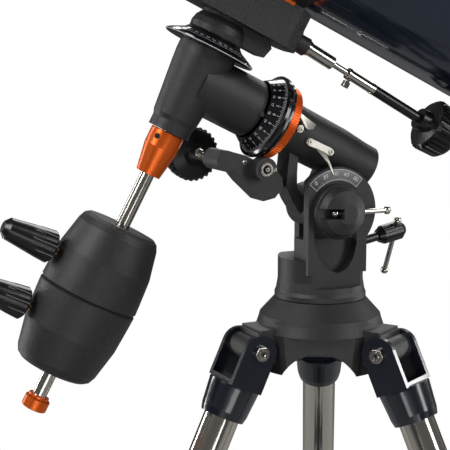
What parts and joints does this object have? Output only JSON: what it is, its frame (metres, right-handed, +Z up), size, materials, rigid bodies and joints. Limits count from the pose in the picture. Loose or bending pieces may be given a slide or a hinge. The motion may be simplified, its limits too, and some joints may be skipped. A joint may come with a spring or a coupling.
{
  "type": "telescope on tripod",
  "caption": "Reflecting telescope on a German equatorial mount with counterweight, slow-motion knobs and a folding three-legged tripod.",
  "frame": {"origin": "on the floor under the tripod's vertical axis", "axes": "+Z up; the rear leg points along +Y and the other two legs to the front, so +X is to the right seen from the front (-Y) side; the counterweight hangs towards -X"},
  "size_m": [0.7302, 0.664, 1.3682],
  "materials": {
    "casting": "satin",
    "weight_casting": "satin",
    "orange": "satin",
    "tube_paint": "gloss",
    "bracket_paint": "gloss",
    "stainless": "polished",
    "black_plastic": "gloss",
    "nickel": "polished",
    "dial_black": "gloss",
    "leg_steel": "satin",
    "tray_paint": "satin",
    "silvered_glass": "polished",
    "tube_fittings": "satin"
  },
  "bodies": {
    "tripod_head": {"tripod_hub": "casting", "leg_hinge_bolts": "nickel"},
    "azimuth_clamp": {"azimuth_clamp_knob": "black_plastic"},
    "leg_left": {"leg_fittings_left": "bracket_paint", "leg_tube_left": "stainless"},
    "lower_leg_left": {"lower_leg_left": "leg_steel"},
    "leg_clamp_left": {"leg_clamp_knob_left": "black_plastic"},
    "leg_right": {"leg_fittings_right": "bracket_paint", "leg_tube_right": "stainless"},
    "lower_leg_right": {"lower_leg_right": "leg_steel"},
    "leg_clamp_right": {"leg_clamp_knob_right": "black_plastic"},
    "leg_rear": {"leg_fittings_rear": "bracket_paint", "leg_tube_rear": "stainless"},
    "lower_leg_rear": {"lower_leg_rear": "leg_steel"},
    "leg_clamp_rear": {"leg_clamp_knob_rear": "black_plastic"},
    "arm_left": {"brace_arm_left": "tray_paint"},
    "arm_right": {"brace_arm_right": "tray_paint"},
    "arm_rear": {"brace_arm_rear": "tray_paint"},
    "brace": {"brace_hub": "tray_paint", "accessory_tray": "tray_paint"},
    "azimuth": {"azimuth_base": "casting"},
    "latitude_lock": {"latitude_lock": "black_plastic"},
    "latitude_lock_bar": {"latitude_lock_bar": "nickel"},
    "latitude_screw": {"latitude_screw": "nickel"},
    "latitude_screw_bar": {"latitude_screw_bar": "nickel"},
    "polar": {"polar_housing": "casting", "ra_worm_block": "casting"},
    "setting_circle": {"ra_dial": "dial_black", "ra_lock_ring": "orange"},
    "ra_slow": {"ra_worm": "nickel", "ra_knob": "black_plastic"},
    "ra": {"ra_shaft": "nickel", "ra_worm_wheel": "nickel", "dec_housing": "casting", "counterweight_collar": "orange", "counterweight_shaft": "nickel", "counterweight_end_cap": "orange"},
    "weight_upper": {"weight_upper": "weight_casting"},
    "weight_knob_upper": {"weight_knob_upper": "black_plastic"},
    "weight_lower": {"weight_lower": "weight_casting"},
    "weight_knob_lower": {"weight_knob_lower": "black_plastic"},
    "dec_circle": {"dec_dial": "dial_black"},
    "dec": {"dec_shaft": "nickel", "dec_saddle": "casting", "dec_worm_wheel": "nickel", "dovetail_bar": "tube_fittings", "tube_rings": "tube_fittings", "tube": "tube_paint", "front_ring": "tube_fittings", "rear_cell": "tube_fittings", "primary_mirror": "silvered_glass", "secondary_spider": "tube_fittings", "focuser_body": "tube_fittings", "finder": "tube_fittings"},
    "dec_slow": {"dec_worm": "nickel", "dec_cable": "nickel", "dec_knob": "black_plastic"},
    "drawtube": {"drawtube": "tube_fittings", "eyepiece": "tube_fittings"},
    "focus_knobs": {"focus_knobs": "black_plastic"}
  },
  "joints": [
    {"name": "azimuth_clamp_turn", "type": "hinge", "parent": "tripod_head", "child": "azimuth_clamp", "pos_m": [0, 0, 0.73847], "axis": [0, 0, 1], "continuous": true},
    {"name": "leg_fold_left", "type": "hinge", "parent": "tripod_head", "child": "leg_left", "pos_m": [-0.06149, -0.0355, 0.72797], "axis": [0.5, -0.866, 0], "range_deg": [0, 5.5]},
    {"name": "leg_extend_left", "type": "slide", "parent": "leg_left", "child": "lower_leg_left", "axis": [-0.3591, -0.2073, -0.91], "range_m": [-0.15, 0.14]},
    {"name": "leg_clamp_turn_left", "type": "hinge", "parent": "leg_left", "child": "leg_clamp_left", "pos_m": [-0.29522, -0.17045, 0.20808], "axis": [-0.788, -0.455, 0.4147], "continuous": true},
    {"name": "leg_fold_right", "type": "hinge", "parent": "tripod_head", "child": "leg_right", "pos_m": [0.06149, -0.0355, 0.72797], "axis": [0.5, 0.866, 0], "range_deg": [0, 5.5]},
    {"name": "leg_extend_right", "type": "slide", "parent": "leg_right", "child": "lower_leg_right", "axis": [0.3591, -0.2073, -0.91], "range_m": [-0.15, 0.14]},
    {"name": "leg_clamp_turn_right", "type": "hinge", "parent": "leg_right", "child": "leg_clamp_right", "pos_m": [0.29522, -0.17045, 0.20808], "axis": [0.788, -0.455, 0.4147], "continuous": true},
    {"name": "leg_fold_rear", "type": "hinge", "parent": "tripod_head", "child": "leg_rear", "pos_m": [0, 0.071, 0.72797], "axis": [-1, 0, 0], "range_deg": [0, 5.5]},
    {"name": "leg_extend_rear", "type": "slide", "parent": "leg_rear", "child": "lower_leg_rear", "axis": [0, 0.4147, -0.91], "range_m": [-0.15, 0.14]},
    {"name": "leg_clamp_turn_rear", "type": "hinge", "parent": "leg_rear", "child": "leg_clamp_rear", "pos_m": [0, 0.34089, 0.20808], "axis": [0, 0.91, 0.4147], "continuous": true},
    {"name": "arm_swing_left", "type": "hinge", "parent": "leg_left", "child": "arm_left", "pos_m": [-0.24197, -0.1397, 0.20314], "axis": [0.5, -0.866, 0], "range_deg": [0, 11.7]},
    {"name": "arm_swing_right", "type": "hinge", "parent": "leg_right", "child": "arm_right", "pos_m": [0.24197, -0.1397, 0.20314], "axis": [0.5, 0.866, 0], "range_deg": [0, 11.7]},
    {"name": "arm_swing_rear", "type": "hinge", "parent": "leg_rear", "child": "arm_rear", "pos_m": [0, 0.27941, 0.20314], "axis": [-1, 0, 0], "range_deg": [0, 11.7]},
    {"name": "brace_rise", "type": "slide", "parent": "tripod_head", "child": "brace", "axis": [0, 0, 1], "range_m": [0, 0.0499]},
    {"name": "azimuth_turn", "type": "hinge", "parent": "tripod_head", "child": "azimuth", "pos_m": [0, 0, 0.76847], "axis": [0, 0, 1], "continuous": true},
    {"name": "latitude_lock_turn", "type": "hinge", "parent": "azimuth", "child": "latitude_lock", "pos_m": [0, 0, 0.84867], "axis": [0.4787, -0.878, 0], "continuous": true},
    {"name": "latitude_lock_bar_slide", "type": "slide", "parent": "latitude_lock", "child": "latitude_lock_bar", "axis": [-0.878, -0.4787, 0], "range_m": [-0.001, 0.014]},
    {"name": "latitude_screw_turn", "type": "hinge", "parent": "azimuth", "child": "latitude_screw", "pos_m": [0.043, 0.02345, 0.81652], "axis": [0.8601, 0.4689, 0.2011], "continuous": true},
    {"name": "latitude_screw_bar_slide", "type": "slide", "parent": "latitude_screw", "child": "latitude_screw_bar", "axis": [0.1385, -0.5939, 0.7925], "range_m": [0, 0.04]},
    {"name": "latitude_tilt", "type": "hinge", "parent": "azimuth", "child": "polar", "pos_m": [0, 0, 0.84867], "axis": [-0.4787, 0.878, 0], "range_deg": [-4, 24]},
    {"name": "setting_circle_turn", "type": "hinge", "parent": "polar", "child": "setting_circle", "pos_m": [-0.04403, -0.024, 0.92795], "axis": [-0.7878, -0.4295, 0.4415], "continuous": true},
    {"name": "ra_slow_turn", "type": "hinge", "parent": "polar", "child": "ra_slow", "pos_m": [-0.08586, -0.04681, 0.89456], "axis": [-0.4787, 0.878, 0], "continuous": true},
    {"name": "ra_turn", "type": "hinge", "parent": "polar", "child": "ra", "pos_m": [-0.10705, -0.05837, 0.96328], "axis": [-0.7878, -0.4295, 0.4415], "range_deg": [-75, 75]},
    {"name": "weight_slide_upper", "type": "slide", "parent": "ra", "child": "weight_upper", "axis": [0.4343, 0.1209, 0.8926], "range_m": [0, 0.047]},
    {"name": "weight_knob_turn_upper", "type": "hinge", "parent": "weight_upper", "child": "weight_knob_upper", "pos_m": [-0.22332, -0.10124, 0.82736], "axis": [-0.7878, -0.4295, 0.4415], "continuous": true},
    {"name": "weight_slide_lower", "type": "slide", "parent": "ra", "child": "weight_lower", "axis": [0.4343, 0.1209, 0.8926], "range_m": [-0.024, 0]},
    {"name": "weight_knob_turn_lower", "type": "hinge", "parent": "weight_lower", "child": "weight_knob_lower", "pos_m": [-0.2459, -0.10753, 0.78095], "axis": [-0.7878, -0.4295, 0.4415], "continuous": true},
    {"name": "dec_circle_turn", "type": "hinge", "parent": "ra", "child": "dec_circle", "pos_m": [-0.09402, -0.05474, 0.99005], "axis": [0.4343, 0.1209, 0.8926], "continuous": true},
    {"name": "dec_turn", "type": "hinge", "parent": "ra", "child": "dec", "pos_m": [-0.10705, -0.05837, 0.96328], "axis": [0.4343, 0.1209, 0.8926], "range_deg": [-90, 90]},
    {"name": "dec_slow_turn", "type": "hinge", "parent": "dec", "child": "dec_slow", "pos_m": [-0.0144, -0.01972, 0.9897], "axis": [0.7809, 0.3819, -0.4943], "continuous": true},
    {"name": "focus_travel", "type": "slide", "parent": "dec", "child": "drawtube", "axis": [0.5859, -0.4247, 0.6901], "range_m": [-0.013, 0.02]},
    {"name": "focus_knob_turn", "type": "hinge", "parent": "dec", "child": "focus_knobs", "pos_m": [-0.16224, -0.17107, 1.29042], "axis": [0.0796, -0.8174, -0.5706], "range_deg": [-165, 165]}
  ],
  "couplings": [
    {"joint": "arm_swing_left", "follows": "leg_fold_left", "ratio": 2.093},
    {"joint": "leg_fold_right", "follows": "leg_fold_left", "ratio": 1},
    {"joint": "arm_swing_right", "follows": "leg_fold_left", "ratio": 2.093},
    {"joint": "leg_fold_rear", "follows": "leg_fold_left", "ratio": 1},
    {"joint": "arm_swing_rear", "follows": "leg_fold_left", "ratio": 2.093},
    {"joint": "brace_rise", "follows": "leg_fold_left", "m_per_rad": 0.51436},
    {"joint": "focus_knob_turn", "follows": "focus_travel", "rad_per_m": 142.86}
  ]
}
